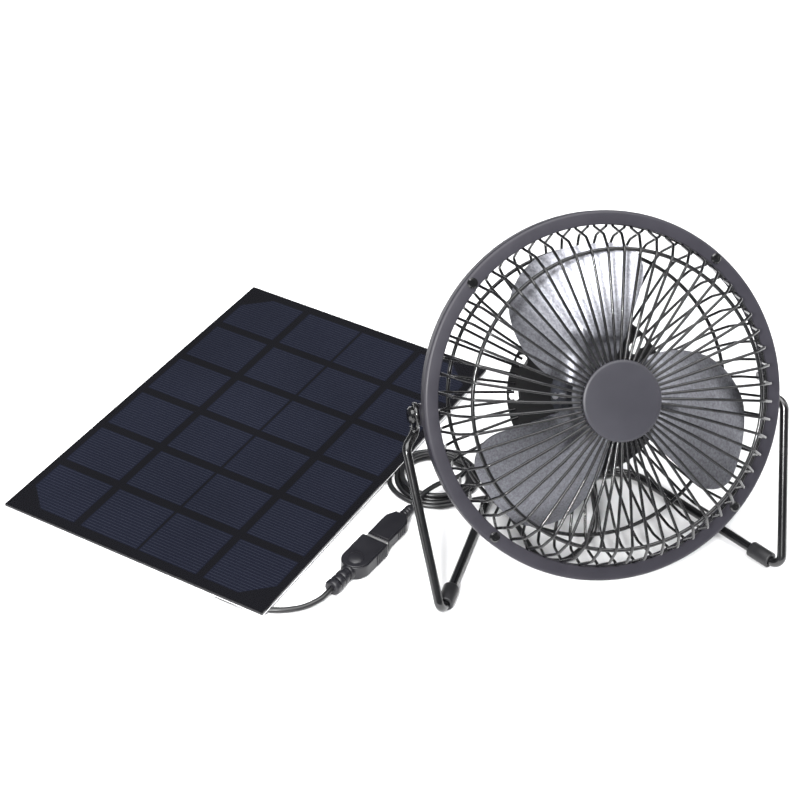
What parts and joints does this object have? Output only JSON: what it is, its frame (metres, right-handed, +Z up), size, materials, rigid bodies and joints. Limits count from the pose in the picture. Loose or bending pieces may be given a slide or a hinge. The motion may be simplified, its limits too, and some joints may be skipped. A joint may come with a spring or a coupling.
{
  "type": "desk fan with solar panel",
  "caption": "Small tilting metal desk fan on a bent-wire stand, with a flat solar panel beside it and a USB lead that joins them.",
  "frame": {"origin": "on the table, under the middle of the bounding box of the fan and panel", "axes": "+Z up, the fan faces -Y, +X along the tilt axis to the fan's left hand side as seen from behind"},
  "size_m": [0.3969, 0.3181, 0.1728],
  "materials": {
    "black_enamel": "glossy black enamel on steel",
    "rod_black": "glossy black powder coat",
    "badge_grey": "satin grey",
    "blade_aluminium": "stamped, bright",
    "steel": "plain steel",
    "motor_steel": "zinc plated",
    "brass": "sintered bronze",
    "copper": "enamelled copper",
    "dark_plastic": "moulded, matt",
    "cord_black": "soft PVC, semi-matt",
    "plug_black": "moulded PVC",
    "foot_rubber": "soft rubber",
    "magnet": "ferrite",
    "nickel": "bright nickel",
    "board_white": "white board",
    "cell_blue": "dark blue silicon",
    "cover_clear": "clear satin resin over black",
    "tongue_white": "moulded, white"
  },
  "bodies": {
    "stand": {"stand_wire": "rod_black", "stand_eyes": "rod_black", "foot_sleeves": "foot_rubber", "panel_board": "board_white", "solar_cells": "cell_blue", "panel_cover": "cover_clear", "panel_pads": "foot_rubber", "junction_box": "dark_plastic", "panel_lead": "cord_black", "lead_strain_relief": "plug_black", "socket_overmould": "plug_black", "socket_shell": "nickel", "socket_contacts": "copper", "fan_cord": "cord_black", "cord_coil": "cord_black", "cord_tail": "cord_black", "plug_strain_relief": "plug_black", "plug_overmould": "plug_black", "plug_shell": "nickel", "plug_tongue": "tongue_white"},
    "fan_head": {"front_rim": "black_enamel", "rear_rim": "black_enamel", "rim_screws": "black_enamel", "rim_nuts": "steel", "front_guard_wires": "black_enamel", "front_guard_hoops": "black_enamel", "front_badge": "badge_grey", "badge_backing": "black_enamel", "rear_guard_wires": "black_enamel", "rear_guard_hoops": "black_enamel", "motor_plate": "black_enamel", "rear_housing": "black_enamel", "housing_screws": "steel", "motor_can": "motor_steel", "motor_magnets": "magnet", "motor_end_cap": "dark_plastic", "front_bushing": "brass", "rear_bushing": "brass", "motor_brushes": "magnet", "motor_screws": "steel", "switch_body": "dark_plastic", "cord_gland": "dark_plastic", "pivot_tabs": "black_enamel", "pivot_screws": "black_enamel", "pivot_washers": "black_enamel", "pivot_nuts": "steel"},
    "rotor": {"motor_shaft": "steel", "armature_core": "motor_steel", "armature_windings": "copper", "commutator": "copper", "blade_hub": "blade_aluminium", "blades": "blade_aluminium", "hub_rivets": "blade_aluminium"},
    "switch_rocker": {"switch_rocker": "dark_plastic"}
  },
  "joints": [
    {"name": "head_tilt", "type": "hinge", "parent": "stand", "child": "fan_head", "pos_m": [0.09665, -0.08536, 0.0865], "axis": [1, 0, 0], "range_deg": [-55, 14], "deforming": ["fan_cord"]},
    {"name": "blade_spin", "type": "hinge", "parent": "fan_head", "child": "rotor", "pos_m": [0.09665, -0.09805, 0.09449], "axis": [0, -0.8462, 0.5329], "continuous": true},
    {"name": "switch_rock", "type": "hinge", "parent": "fan_head", "child": "switch_rocker", "pos_m": [0.09665, -0.04159, 0.08375], "axis": [1, 0, 0], "range_deg": [0, 16]}
  ]
}
